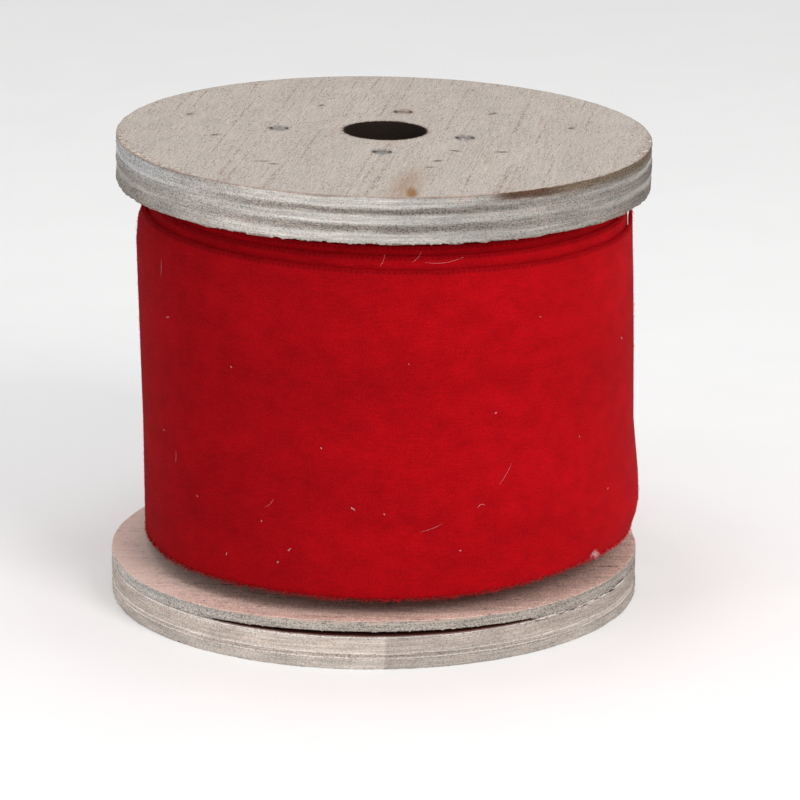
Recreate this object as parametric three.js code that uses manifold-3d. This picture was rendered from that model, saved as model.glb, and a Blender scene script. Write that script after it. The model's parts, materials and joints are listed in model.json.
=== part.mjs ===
// Ribbon spool: two plywood flanges stapled to wooden hub discs, a cardboard core tube between them,
// and a length of velvet ribbon wound on the tube. Millimetres, +Z up, the front of the spool faces -Y.
// The spool stands on its lower flange, and its origin is under the middle of the whole outline.

import * as THREE from "three";
import { mergeVertices } from "three/addons/utils/BufferGeometryUtils.js";
import Module from "manifold-3d";

const wasm = await Module();
wasm.setup();

// Driving dimensions
const RIBBON_WIDTH = 101.6;
const RIBBON_ROLL_DIAMETER = 153.8;
const FLANGE_DIAMETER = 165.1;
const BORE_DIAMETER = 25.4;
const RIBBON_FOOT = 5.5; // free height between the lower flange and the last turn of ribbon
const RIBBON_SLIP = 8.0; // how far the last turn has slipped down past the turns under it
const RIBBON_PITCH = 1.43; // how much each turn adds to the radius of the roll
const TUBE_INNER_DIAMETER = 76.2;
const TUBE_WALL = 3.2;
const HUB_THICKNESS = 12.7;

// Plies of each flange, listed from the face that looks at the ribbon to the outer face
const UPPER_PLIES = [
  { name: "inner_veneer", thickness: 1.0, colour: 0xb9b1a8 },
  { name: "inner_ply", thickness: 2.4, colour: 0xc6beb3 },
  { name: "lower_crossband", thickness: 2.4, colour: 0x9d948b },
  { name: "core_ply", thickness: 3.0, colour: 0xc9c0b4 },
  { name: "upper_crossband", thickness: 2.0, colour: 0x9a928a },
  { name: "outer_ply", thickness: 2.9, colour: 0xc4bcb2 },
  { name: "face_veneer", thickness: 0.6, colour: 0xbfb3a6 },
];
const LOWER_PLIES = [
  { name: "sprung_ply", thickness: 3.7, colour: 0xb79c90, sprung: true },
  { name: "upper_crossband", thickness: 0.9, colour: 0xd6cfc6 },
  { name: "core_ply", thickness: 4.7, colour: 0xc9beb4 },
  { name: "lower_crossband", thickness: 1.8, colour: 0xd8cdc5 },
  { name: "base_ply", thickness: 3.2, colour: 0xb0aba3 },
];

// How far this spool is from a perfect one
const BORE_SHIFT = 4.0; // the bore lies this far behind the middle of the tube
const LOWER_RIM_SHIFT = 3.2; // the lower flange sits this far to the left of the tube
const UPPER_LEAN = 1.1; // degrees; the upper end of the tube is cut out of square, low on the right
const SPRUNG_LIFT = 1.0; // how far the sprung ply stands open at the front of the rim
const SPRUNG_HALF_ANGLE = 36; // degrees of rim each side of the front where that ply has let go

// Staples that hold each flange to its hub disc, each placed by its angle round the tube
// and by how far it is in from the rim of the hub disc
const STAPLE_CROWN = 4.8;
const STAPLE_WIRE = 1.0;
const STAPLE_BITE = 8; // how deep the legs go into the hub disc
const STAPLE_SINK = 0.25; // how far the crown is driven below the face
const STAPLE_PLACES = [
  { name: "left", angle: 172, inset: 4.8 },
  { name: "front", angle: 269, inset: 12.7 },
  { name: "right", angle: 351, inset: 12.3 },
  { name: "rear", angle: 79, inset: 6.3 },
];

// The tape that holds the inner end of the ribbon
const TAPE_WIDTH = 50;
const TAPE_THICKNESS = 0.2;
const TAPE_ARC = 40; // degrees of the tube that the tape covers

// Clearances
const GLUE_LINE = 0.05;
const STAPLE_CLEARANCE = 0.3;
const HUB_CLEARANCE = 0.5;
const TUBE_END_GAP = 0.3;
const TAPE_CLEARANCE = 0.3;
const RIBBON_CLEARANCE = 0.8; // between the inner turns and the lowest side of the upper flange

// Facets in a full turn
const RIM_FACETS = 96;
const TUBE_FACETS = 72;
const BORE_FACETS = 48;

const STAPLE_COLOUR = 0x8d8c89;
const HUB_COLOUR = 0xb59a78;
const TUBE_COLOUR = 0xa98c6c;
const RIBBON_COLOUR = 0xa80d18;
const TAPE_COLOUR = 0xd9c79a;

const radians = THREE.MathUtils.degToRad;
const leanDrop = (FLANGE_DIAMETER / 2) * Math.sin(radians(UPPER_LEAN));
const tubeLength = RIBBON_FOOT + RIBBON_WIDTH + RIBBON_SLIP + RIBBON_CLEARANCE + leanDrop;
const tubeRadius = TUBE_INNER_DIAMETER / 2 + TUBE_WALL;
const hubRadius = TUBE_INNER_DIAMETER / 2 - HUB_CLEARANCE;

function stackHeight(plies) {
  return plies.reduce((height, ply) => height + ply.thickness, 0);
}

// Booleans

function toSolid(geometry) {
  const bare = geometry.clone();
  bare.deleteAttribute("normal");
  bare.deleteAttribute("uv");
  const merged = mergeVertices(bare);
  const mesh = new wasm.Mesh({
    numProp: 3,
    vertProperties: new Float32Array(merged.attributes.position.array),
    triVerts: new Uint32Array(merged.index.array),
  });
  return new wasm.Manifold(mesh);
}

function toGeometry(solid) {
  const mesh = solid.getMesh();
  const geometry = new THREE.BufferGeometry();
  geometry.setAttribute("position", new THREE.BufferAttribute(mesh.vertProperties, 3));
  geometry.setIndex(new THREE.BufferAttribute(mesh.triVerts, 1));
  return geometry;
}

function makePiece(name, geometry, colour, roughness, metalness = 0) {
  const flatShading = geometry.attributes.normal === undefined;
  const material = new THREE.MeshStandardMaterial({ color: colour, roughness, metalness, flatShading });
  const mesh = new THREE.Mesh(geometry, material);
  mesh.name = name;
  return mesh;
}

// Shapes

// A flat round disc from z = bottom upwards, with its rim moved sideways from the bore
function discGeometry(radius, rimShift, bottom, thickness) {
  const outline = new THREE.Shape();
  outline.absarc(rimShift, 0, radius, 0, 2 * Math.PI);
  const disc = new THREE.ExtrudeGeometry(outline, {
    depth: thickness,
    bevelEnabled: false,
    curveSegments: RIM_FACETS / 2, // a full circle gets two facets for each
  });
  return disc.translate(0, 0, bottom);
}

function boreGeometry(bottom, length) {
  const cutter = new THREE.CylinderGeometry(BORE_DIAMETER / 2, BORE_DIAMETER / 2, length, BORE_FACETS);
  return cutter.rotateX(Math.PI / 2).translate(0, BORE_SHIFT, bottom + length / 2);
}

// A staple with its legs down, its crown lying just under the outer face of a flange.
// The extra amount is added all round it, which makes the slot that the staple lies in.
function stapleGeometry(place, outerFace, extra) {
  const halfCrown = STAPLE_CROWN / 2 + extra;
  const wire = STAPLE_WIRE + 2 * extra;
  const top = extra > 0 ? STAPLE_SINK : 0;
  const crownUnderside = -STAPLE_WIRE - extra;
  const legEnd = STAPLE_SINK - outerFace - STAPLE_BITE - extra;
  const bend = STAPLE_WIRE / 2;
  const outline = new THREE.Shape();
  outline.moveTo(-halfCrown, legEnd + wire / 2);
  outline.lineTo(-halfCrown + wire, legEnd);
  outline.lineTo(-halfCrown + wire, crownUnderside);
  outline.lineTo(halfCrown - wire, crownUnderside);
  outline.lineTo(halfCrown - wire, legEnd);
  outline.lineTo(halfCrown, legEnd + wire / 2);
  outline.lineTo(halfCrown, top - bend);
  outline.absarc(halfCrown - bend, top - bend, bend, 0, Math.PI / 2);
  outline.absarc(-halfCrown + bend, top - bend, bend, Math.PI / 2, Math.PI);
  const staple = new THREE.ExtrudeGeometry(outline, {
    depth: wire,
    bevelEnabled: false,
    curveSegments: 3,
  });
  const angle = radians(place.angle);
  const reach = hubRadius - place.inset;
  staple.rotateX(Math.PI / 2).translate(0, wire / 2, outerFace - STAPLE_SINK);
  return staple.translate(reach * Math.cos(angle), reach * Math.sin(angle), 0);
}

// A closed section, given as pairs of radius and height, turned round the tube's axis
function turnedGeometry(section, facets) {
  const profile = [...section, section[0]].map(([radius, height]) => new THREE.Vector2(radius, height));
  return new THREE.LatheGeometry(profile, facets).rotateX(Math.PI / 2);
}

// One end of the spool is built around the face of its flange that looks at the ribbon:
// that face is z = 0, the plies stack outwards up to the outer face, and the hub disc hangs below.

function stapleSlots(outerFace) {
  return STAPLE_PLACES.map((place) => toSolid(stapleGeometry(place, outerFace, STAPLE_CLEARANCE)));
}

function cutBoreAndSlots(solid, slots, bottom, thickness) {
  const bore = toSolid(boreGeometry(bottom - 1, thickness + 2));
  return slots.reduce((rest, slot) => rest.subtract(slot), solid.subtract(bore));
}

// The front of the sprung ply is folded away from its neighbour along a chord of the rim.
function springFront(solid, thickness) {
  const radius = FLANGE_DIAMETER / 2;
  const chord = radius * Math.cos(radians(SPRUNG_HALF_ANGLE));
  const foldAngle = Math.atan2(SPRUNG_LIFT, radius - chord);
  const reach = 2 * FLANGE_DIAMETER;
  const inFront = toSolid(new THREE.BoxGeometry(reach, reach, reach).translate(0, -chord - reach / 2, 0));
  const flap = toGeometry(solid.intersect(inFront));
  flap.translate(0, chord, -thickness).rotateX(foldAngle).translate(0, -chord, thickness);
  return solid.subtract(inFront).add(toSolid(flap));
}

function makePly(prefix, ply, bottom, rimShift, slots) {
  const depth = ply.thickness - GLUE_LINE;
  const disc = toSolid(discGeometry(FLANGE_DIAMETER / 2, rimShift, bottom, depth));
  const cut = cutBoreAndSlots(disc, slots, bottom, depth);
  const shaped = ply.sprung ? springFront(cut, depth) : cut;
  return makePiece(`${prefix}_${ply.name}`, toGeometry(shaped), ply.colour, 0.85);
}

function makeHub(prefix, slots) {
  const bottom = -HUB_THICKNESS - GLUE_LINE;
  const disc = toSolid(discGeometry(hubRadius, 0, bottom, HUB_THICKNESS));
  const cut = cutBoreAndSlots(disc, slots, bottom, HUB_THICKNESS);
  return makePiece(`${prefix}_hub_disc`, toGeometry(cut), HUB_COLOUR, 0.8);
}

function makeStaple(prefix, place, outerFace) {
  const geometry = stapleGeometry(place, outerFace, 0);
  return makePiece(`${prefix}_${place.name}_staple`, geometry, STAPLE_COLOUR, 0.4, 0.9);
}

function makeEnd(prefix, plies, rimShift) {
  const end = new THREE.Group();
  const outerFace = stackHeight(plies) - GLUE_LINE;
  const slots = stapleSlots(outerFace);
  let bottom = 0;
  for (const ply of plies) {
    end.add(makePly(`${prefix}_flange`, ply, bottom, rimShift, slots));
    bottom += ply.thickness;
  }
  end.add(makeHub(prefix, slots));
  for (const place of STAPLE_PLACES) {
    end.add(makeStaple(prefix, place, outerFace));
  }
  return end;
}

// Pieces between the flanges

// The tube is cut square at its foot and along the leaning flange at its upper end.
function makeTube() {
  const innerRadius = TUBE_INNER_DIAMETER / 2;
  const reach = 2 * FLANGE_DIAMETER;
  const spareTop = tubeLength + TUBE_WALL;
  const section = [
    [innerRadius, GLUE_LINE],
    [tubeRadius, GLUE_LINE],
    [tubeRadius, spareTop],
    [innerRadius, spareTop],
  ];
  const square = toSolid(turnedGeometry(section, TUBE_FACETS));
  const above = new THREE.BoxGeometry(reach, reach, reach).translate(0, 0, reach / 2 - TUBE_END_GAP);
  above.rotateY(radians(UPPER_LEAN)).translate(0, 0, tubeLength);
  return makePiece("core_tube", toGeometry(square.subtract(toSolid(above))), TUBE_COLOUR, 0.9);
}

// The roll of ribbon, with its last turn lower than the turns inside it
function makeRibbon() {
  const innerRadius = tubeRadius + GLUE_LINE + TAPE_THICKNESS + TAPE_CLEARANCE;
  const outerRadius = RIBBON_ROLL_DIAMETER / 2;
  const stepRadius = outerRadius - RIBBON_PITCH;
  const lastTop = RIBBON_FOOT + RIBBON_WIDTH;
  const section = [
    [innerRadius, RIBBON_FOOT + RIBBON_SLIP],
    [stepRadius, RIBBON_FOOT + RIBBON_SLIP],
    [stepRadius, RIBBON_FOOT],
    [outerRadius, RIBBON_FOOT],
    [outerRadius, lastTop],
    [stepRadius, lastTop],
    [stepRadius, lastTop + RIBBON_SLIP],
    [innerRadius, lastTop + RIBBON_SLIP],
  ];
  return makePiece("velvet_ribbon", turnedGeometry(section, RIM_FACETS), RIBBON_COLOUR, 0.95);
}

// A patch of tape round the back of the tube, half way up
function makeTape() {
  const innerRadius = tubeRadius + GLUE_LINE;
  const from = Math.PI / 2 - radians(TAPE_ARC / 2);
  const to = Math.PI / 2 + radians(TAPE_ARC / 2);
  const outline = new THREE.Shape();
  outline.absarc(0, 0, innerRadius + TAPE_THICKNESS, from, to);
  outline.absarc(0, 0, innerRadius, to, from, true);
  const tape = new THREE.ExtrudeGeometry(outline, {
    depth: TAPE_WIDTH,
    bevelEnabled: false,
    curveSegments: 12,
  });
  tape.translate(0, 0, RIBBON_FOOT + RIBBON_SLIP + (RIBBON_WIDTH - TAPE_WIDTH) / 2);
  return makePiece("ribbon_start_tape", tape, TAPE_COLOUR, 0.7);
}

// The whole spool

function makeSpool() {
  const spool = new THREE.Group();
  const lowerEnd = makeEnd("lower", LOWER_PLIES, LOWER_RIM_SHIFT);
  lowerEnd.rotation.y = Math.PI;
  const upperEnd = makeEnd("upper", UPPER_PLIES, 0);
  upperEnd.rotation.y = radians(UPPER_LEAN);
  upperEnd.position.z = tubeLength;
  spool.add(lowerEnd, upperEnd, makeTube(), makeRibbon(), makeTape());
  const outline = new THREE.Box3().setFromObject(spool);
  const middle = outline.getCenter(new THREE.Vector3());
  spool.position.set(-middle.x, -middle.y, -outline.min.z);
  return spool;
}

const spool = makeSpool();
export default spool;
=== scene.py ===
"""Ribbon spool: sawn plywood flanges, staples and a roll of velvet ribbon, over the fixed frame."""

import json
import math
import random

import bpy
from mathutils import Matrix, Vector, noise


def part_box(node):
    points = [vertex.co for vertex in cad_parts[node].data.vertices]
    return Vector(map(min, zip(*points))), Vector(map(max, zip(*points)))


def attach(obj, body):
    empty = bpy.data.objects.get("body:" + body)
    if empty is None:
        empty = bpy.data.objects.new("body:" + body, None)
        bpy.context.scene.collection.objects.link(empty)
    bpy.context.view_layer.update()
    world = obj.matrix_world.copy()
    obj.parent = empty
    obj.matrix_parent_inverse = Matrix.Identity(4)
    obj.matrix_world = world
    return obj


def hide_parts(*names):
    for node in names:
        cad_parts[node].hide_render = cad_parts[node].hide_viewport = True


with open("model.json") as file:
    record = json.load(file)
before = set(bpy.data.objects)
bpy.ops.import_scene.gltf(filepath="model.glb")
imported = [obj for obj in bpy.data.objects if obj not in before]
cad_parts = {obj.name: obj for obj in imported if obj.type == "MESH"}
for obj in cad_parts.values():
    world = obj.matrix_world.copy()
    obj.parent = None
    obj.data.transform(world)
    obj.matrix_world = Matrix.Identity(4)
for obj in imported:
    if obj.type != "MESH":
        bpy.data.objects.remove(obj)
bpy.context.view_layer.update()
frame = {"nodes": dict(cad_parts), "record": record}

bl_info = {
    "name": "Ribbon Spool",
    "version": (1, 0, 0),
    "blender": (4, 5, 0),
    "location": "View3D > Sidebar > Spool",
    "description": "Models a wooden spool of velvet ribbon piece by piece",
    "category": "Object",
}

MM = 0.001
BODY = "root"
SAME = 0.01 * MM  # places closer than this count as the same

UPPER_PLIES = (
    "inner_veneer", "inner_ply", "lower_crossband", "core_ply",
    "upper_crossband", "outer_ply", "face_veneer",
)
LOWER_PLIES = ("sprung_ply", "upper_crossband", "core_ply", "lower_crossband", "base_ply")
STAPLE_SIDES = ("left", "front", "right", "rear")


# Places taken from the frame


def mount_named(name):
    return next(mount for mount in frame["record"]["mounts"] if mount["name"] == name)


def middle_of(node):
    low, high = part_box(node)
    return (low + high) / 2


upper_axis = Vector(mount_named("upper_face")["axis"])
upper_middle = Vector(mount_named("upper_face")["pos_m"])
upper_middle.y = 0.0
lean = math.atan2(upper_axis.x, upper_axis.z)
lower_axis = Vector((0, 0, 1))
lower_middle = middle_of("lower_flange_base_ply")
lower_middle.z = 0.0
flange_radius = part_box("lower_flange_base_ply")[1].y
roll_middle = middle_of("velvet_ribbon")
roll_low, roll_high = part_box("velvet_ribbon")
roll_radius = roll_high.y
tube_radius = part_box("core_tube")[1].y


def bore_of(node, middle):
    """The middle and radius of the bore of a ply, from the vertices that lie near its middle."""
    reach = 0.25 * flange_radius
    near = [v.co.copy() for v in frame["nodes"][node].data.vertices if (v.co - middle).xy.length < reach]
    low_y = min(co.y for co in near)
    high_y = max(co.y for co in near)
    middle_x = sum(co.x for co in near) / len(near)
    return Vector((middle_x, (low_y + high_y) / 2, middle.z)), (high_y - low_y) / 2


upper_bore, bore_radius = bore_of("upper_flange_face_veneer", upper_middle)
lower_bore, _ = bore_of("lower_flange_base_ply", lower_middle)


def span_along(node, axis):
    """How far a ply reaches along the axis of its flange, read at the back where no ply is sprung."""
    heights = [v.co.dot(axis) for v in frame["nodes"][node].data.vertices if v.co.y > 0]
    return min(heights), max(heights)


# Settings that a user would change


class WoodSettings(bpy.types.PropertyGroup):
    pale_wood: bpy.props.FloatVectorProperty(
        name="Pale wood", description="Colour of a rim cut along its grain",
        subtype="COLOR", size=3, min=0.0, max=1.0, default=(0.50, 0.475, 0.445),
    )
    end_grain: bpy.props.FloatVectorProperty(
        name="End grain", description="Colour of a rim cut across its grain",
        subtype="COLOR", size=3, min=0.0, max=1.0, default=(0.205, 0.18, 0.158),
    )
    face_wood: bpy.props.FloatVectorProperty(
        name="Face", description="Colour of the weathered face",
        subtype="COLOR", size=3, min=0.0, max=1.0, default=(0.465, 0.41, 0.365),
    )
    pink_wood: bpy.props.FloatVectorProperty(
        name="Pink wood", description="Colour of the face under the ribbon",
        subtype="COLOR", size=3, min=0.0, max=1.0, default=(0.63, 0.425, 0.36),
    )
    rim_roughness: bpy.props.FloatProperty(
        name="Rim roughness", description="How far the sawn rim stands in and out",
        subtype="DISTANCE", unit="LENGTH", min=0.0, max=0.003, default=0.0006,
    )
    torn_edge: bpy.props.FloatProperty(
        name="Torn edge", description="How far the torn edges stand up and down",
        subtype="DISTANCE", unit="LENGTH", min=0.0, max=0.005, default=0.0021,
    )


class RibbonSettings(bpy.types.PropertyGroup):
    length: bpy.props.FloatProperty(
        name="Length", description="Length of ribbon on the spool",
        subtype="DISTANCE", unit="LENGTH", min=4.0, max=12.0, default=9.144,
    )
    width: bpy.props.FloatProperty(
        name="Width", description="Width of the ribbon",
        subtype="DISTANCE", unit="LENGTH", min=0.05, max=0.15, default=0.1016,
    )
    velvet: bpy.props.FloatVectorProperty(
        name="Velvet", description="Colour of the pile",
        subtype="COLOR", size=3, min=0.0, max=1.0, default=(0.335, 0.0020, 0.0050),
    )
    fibres: bpy.props.IntProperty(
        name="Edge fibres", description="Fibres that stand out along each cut edge",
        min=0, max=20000, default=7000,
    )


class StapleSettings(bpy.types.PropertyGroup):
    wire: bpy.props.FloatProperty(
        name="Wire", description="Width of the staple wire",
        subtype="DISTANCE", unit="LENGTH", min=0.0005, max=0.002, default=0.001,
    )
    clearance: bpy.props.FloatProperty(
        name="Slot clearance", description="Room round each staple in the wood",
        subtype="DISTANCE", unit="LENGTH", min=0.0, max=0.001, default=0.00022,
    )


# Selecting and shaping by hand


def deselect_all():
    for item in bpy.context.selected_objects:
        item.select_set(False)


def make_active(piece):
    deselect_all()
    piece.select_set(True)
    bpy.context.view_layer.objects.active = piece


def edit(piece, mode="VERT"):
    make_active(piece)
    bpy.ops.object.mode_set(mode="EDIT")
    bpy.ops.mesh.select_mode(type=mode)
    bpy.ops.mesh.select_all(action="DESELECT")
    bpy.ops.object.mode_set(mode="OBJECT")


def select_in(piece, part, test):
    """Selects the vertices, edges or faces of a piece that pass a test, and goes into edit mode."""
    edit(piece, {"vertices": "VERT", "edges": "EDGE", "polygons": "FACE"}[part])
    for item in getattr(piece.data, part):
        item.select = test(item)
    bpy.ops.object.mode_set(mode="EDIT")


def leave_edit():
    bpy.ops.object.mode_set(mode="OBJECT")


def apply_modifier(piece, kind, **settings):
    make_active(piece)
    modifier = piece.modifiers.new(kind.lower(), kind)
    for name, value in settings.items():
        setattr(modifier, name, value)
    bpy.ops.object.modifier_apply(modifier=modifier.name)


def settle(piece):
    """Puts the place of a piece into its mesh."""
    make_active(piece)
    bpy.ops.object.transform_apply(location=True, rotation=True, scale=True)


def smooth_by_angle(piece, degrees):
    make_active(piece)
    bpy.ops.object.shade_smooth_by_angle(angle=math.radians(degrees))


def finish_piece(piece, material, slot, *nodes):
    piece.data.materials.clear()
    piece.data.materials.append(material)
    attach(piece, BODY)
    if nodes:
        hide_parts(*nodes)
    return piece


def piece_from(name, vertices, faces):
    mesh = bpy.data.meshes.new(name)
    mesh.from_pydata(vertices, [], faces)
    mesh.validate()
    piece = bpy.data.objects.new(name, mesh)
    bpy.context.scene.collection.objects.link(piece)
    return piece


# Laying out a material


class Finish:
    """One material laid out node by node. Its patterns are in millimetres."""

    def __init__(self, name, **shader_values):
        self.material = bpy.data.materials.new(name)
        self.material.use_nodes = True
        self.nodes = self.material.node_tree.nodes
        self.links = self.material.node_tree.links
        self.shader = self.nodes["Principled BSDF"]
        for socket, value in shader_values.items():
            self.shader.inputs[socket.replace("_", " ")].default_value = value

    def put(self, socket, value):
        if isinstance(value, bpy.types.NodeSocket):
            self.links.new(value, socket)
        elif socket.type == "RGBA" and len(value) == 3:
            socket.default_value = (*value, 1.0)
        else:
            socket.default_value = value

    def math(self, operation, first, second=0.0):
        node = self.nodes.new("ShaderNodeMath")
        node.operation = operation
        self.put(node.inputs[0], first)
        self.put(node.inputs[1], second)
        return node.outputs[0]

    def times(self, *factors):
        product = factors[0]
        for factor in factors[1:]:
            product = self.math("MULTIPLY", product, factor)
        return product

    def add(self, first, second):
        return self.math("ADD", first, second)

    def space(self, vector, sizes, middle=(0, 0, 0), turn=(0, 0, 0)):
        """A pattern space whose unit is sizes long, moved to a middle and turned."""
        node = self.nodes.new("ShaderNodeMapping")
        node.vector_type = "TEXTURE"
        self.put(node.inputs["Vector"], vector)
        node.inputs["Location"].default_value = middle
        node.inputs["Rotation"].default_value = turn
        node.inputs["Scale"].default_value = sizes
        return node.outputs[0]

    def millimetres(self, middle=(0, 0, 0), turn=(0, 0, 0)):
        coordinates = self.nodes.new("ShaderNodeTexCoord")
        return self.space(coordinates.outputs["Object"], (MM, MM, MM), middle, turn)

    def split(self, vector):
        node = self.nodes.new("ShaderNodeSeparateXYZ")
        self.put(node.inputs[0], vector)
        return node.outputs

    def normal_z(self):
        return self.split(self.nodes.new("ShaderNodeNewGeometry").outputs["Normal"])[2]

    def noise(self, vector, sizes, turn=(0, 0, 0), detail=2.0, roughness=0.5, distortion=0.0):
        node = self.nodes.new("ShaderNodeTexNoise")
        self.put(node.inputs["Vector"], self.space(vector, sizes, turn=turn))
        node.inputs["Scale"].default_value = 1.0
        node.inputs["Detail"].default_value = detail
        node.inputs["Roughness"].default_value = roughness
        node.inputs["Distortion"].default_value = distortion
        return node.outputs[0]

    def rise(self, value, low, high):
        """0 at low, 1 at high, smooth between them. It falls where low is above high."""
        node = self.nodes.new("ShaderNodeMapRange")
        node.interpolation_type = "SMOOTHSTEP"
        self.put(node.inputs["Value"], value)
        node.inputs["From Min"].default_value = low
        node.inputs["From Max"].default_value = high
        return node.outputs["Result"]

    def band(self, value, low, high, softness):
        """1 between low and high, 0 outside, with soft sides."""
        entering = self.rise(value, low - softness, low + softness)
        leaving = self.rise(value, high + softness, high - softness)
        return self.times(entering, leaving)

    def swing(self, value, amount):
        """Turns a pattern that runs from 0 to 1 into a factor that swings round 1."""
        return self.add(self.math("MULTIPLY", value, 4 * amount), 1 - 2 * amount)

    def mix(self, factor, first, second, blend="MIX"):
        node = self.nodes.new("ShaderNodeMix")
        node.data_type = "RGBA"
        node.blend_type = blend
        node.clamp_factor = True
        self.put(node.inputs[0], factor)
        self.put(node.inputs[6], first)
        self.put(node.inputs[7], second)
        return node.outputs[2]

    def scale(self, colour, factor):
        """A colour made lighter or darker by a factor."""
        grey = self.nodes.new("ShaderNodeCombineColor")
        for socket in grey.inputs:
            self.put(socket, factor)
        return self.mix(1.0, colour, grey.outputs[0], "MULTIPLY")

    def spot(self, vector, middle, sizes, turn=0.0):
        """A soft round or oval mark that is 1 at its middle and 0 at its rim."""
        local = self.space(vector, (*sizes, 1000.0), (*middle, 0.0), (0, 0, turn))
        length = self.nodes.new("ShaderNodeVectorMath")
        length.operation = "LENGTH"
        self.put(length.inputs[0], local)
        return self.rise(length.outputs["Value"], 1.0, 0.0)

    def waver(self, vector, sizes, amount, detail=2.0):
        """A noise that wavers round 0, by up to about half the amount."""
        return self.times(self.add(self.noise(vector, sizes, detail=detail), -0.5), amount)

    def distance(self, x, y):
        return self.math("SQRT", self.add(self.math("POWER", x, 2.0), self.math("POWER", y, 2.0)))

    def stain(self, colour, tint, *amounts):
        """A colour that turns to a tint by the product of the amounts. It is used for real stains and
        marks, and also for painted shade.
        """
        return self.mix(self.times(*amounts), colour, tint)

    def relief(self, height, depth, strength=1.0):
        node = self.nodes.new("ShaderNodeBump")
        self.put(node.inputs["Height"], height)
        node.inputs["Distance"].default_value = depth * MM
        node.inputs["Strength"].default_value = strength
        self.links.new(node.outputs[0], self.shader.inputs["Normal"])

    def colour(self, value):
        self.put(self.shader.inputs["Base Color"], value)

    def roughness(self, value):
        self.put(self.shader.inputs["Roughness"], value)


# Wood finishes

GRAIN_TURN = math.radians(-8)
SCORCH = (0.016, 0.009, 0.006)
BROWN_STAIN = (0.085, 0.042, 0.025)
GREY_BRUISE = (0.17, 0.175, 0.185)
RUST_BRUISE = (0.25, 0.17, 0.12)
HALF_CROWN = 2.3

# Millimetres down from the face, or up from the table: where each crossband starts, ends and how softly
UPPER_CROSSBANDS = ((3.65, 5.35, 0.55), (8.75, 10.75, 0.65))
LOWER_CROSSBANDS = ((3.2, 5.0, 0.3), (9.6, 10.6, 0.3))
# Whitish lines round the rim of the lower flange: height and half thickness in millimetres
WHITISH_LINES = ((4.95, 0.22), (3.45, 0.20), (9.9, 0.38))

# Marks on the weathered face: place in millimetres from its middle, length, and turn in degrees
SCRATCHES = (
    (-36.8, -40.0, 5.2, 3), (-33.0, -43.5, 3.4, -12), (16.0, -35.6, 4.6, 24), (13.8, -43.6, 3.2, 10),
    (3.5, 17.0, 6.0, 4), (34.0, 30.5, 5.0, 62), (35.8, -22.1, 5.5, 2), (-52.0, -6.0, 4.0, 40),
    (-61.0, 22.0, 3.6, 70), (22.0, -22.0, 4.2, -28), (-20.0, 38.0, 3.0, 65), (58.0, 12.0, 3.2, 80),
)


def face_pattern(finish, place, base, turn, streak_colour, strength=1.0):
    """The colour and relief of a flat face with its grain along Y, turned a little."""
    grain = (0, 0, turn)
    fine = finish.noise(place, (0.55, 9.0, 4.0), grain, detail=4, roughness=0.65)
    streak = finish.noise(place, (1.7, 42.0, 9.0), grain, detail=3, roughness=0.6, distortion=0.5)
    broad = finish.noise(place, (13.0, 70.0, 20.0), grain, detail=2)
    pores = finish.noise(place, (0.55, 2.2, 1.0), grain, detail=3, roughness=0.7)
    patches = finish.noise(place, (6.0, 14.0, 9.0), grain, detail=3, roughness=0.6)
    pitted = finish.times(finish.rise(pores, 0.58, 0.65), finish.rise(patches, 0.40, 0.56))
    fuzz = finish.noise(place, (0.42, 1.3, 0.5), detail=3, roughness=0.8)
    rings = finish.noise(place, (2.1, 150.0, 20.0), grain, detail=2, roughness=0.6)
    gaps = finish.noise(place, (0.9, 2.6, 3.0), grain, detail=3, roughness=0.75)
    ring = finish.times(finish.rise(rings, 0.585, 0.65), finish.rise(gaps, 0.47, 0.57), strength)
    colour = finish.scale(base, finish.swing(broad, 0.07 * strength))
    colour = finish.scale(colour, finish.swing(fine, 0.22 * strength))
    colour = finish.scale(colour, finish.swing(fuzz, 0.42 * strength))
    streaked = finish.times(finish.rise(streak, 0.55, 0.78), finish.rise(broad, 0.35, 0.6))
    colour = finish.stain(colour, streak_colour, streaked, 0.55 * strength)
    colour = finish.stain(colour, tuple(0.7 * channel for channel in streak_colour), ring, 0.75)
    colour = finish.stain(colour, (0.17, 0.12, 0.095), pitted, 0.72 * strength)
    height = finish.add(fine, finish.times(pitted, -0.9))
    return colour, height


def bore_scorch(finish, place, middle):
    """1 on the wall of the bore and on its burnt edge, 0 elsewhere, and 1 on the brown ring outside it."""
    x, y, _ = finish.split(finish.space(place, (1, 1, 1), middle))
    distance = finish.add(finish.distance(x, y), finish.waver(place, (1.2, 1.2, 1.2), 1.6, detail=3))
    radius = bore_radius / MM
    wall = finish.rise(distance, radius + 0.75, radius + 0.25)
    ring = finish.rise(distance, radius + 2.2, radius + 0.4)
    return wall, ring


def knotted(finish, place, colour):
    """A brown knot at the front, drawn out along the grain."""
    knot = finish.add(
        finish.spot(place, (8.4, -78.0), (2.6, 11.0)),
        finish.times(finish.spot(place, (6.6, -68.0), (7.5, 38.0), GRAIN_TURN), 0.55),
    )
    grain = finish.noise(place, (0.7, 14.0, 4.0), (0, 0, GRAIN_TURN), detail=3)
    return finish.stain(colour, (0.27, 0.135, 0.056), knot, finish.rise(grain, 0.12, 0.52))


def scratched(finish, place, colour):
    """Short dark scratches, broken along their length."""
    cross = finish.noise(place, (5.0, 0.5, 1.0), detail=3, roughness=0.7)
    broken = finish.rise(cross, 0.38, 0.55)
    for middle_x, middle_y, length, degrees in SCRATCHES:
        mark = finish.spot(place, (middle_x, middle_y), (0.7 * length, 1.5), math.radians(degrees))
        colour = finish.stain(colour, (0.11, 0.08, 0.065), mark, broken, 1.5)
    return colour


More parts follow.
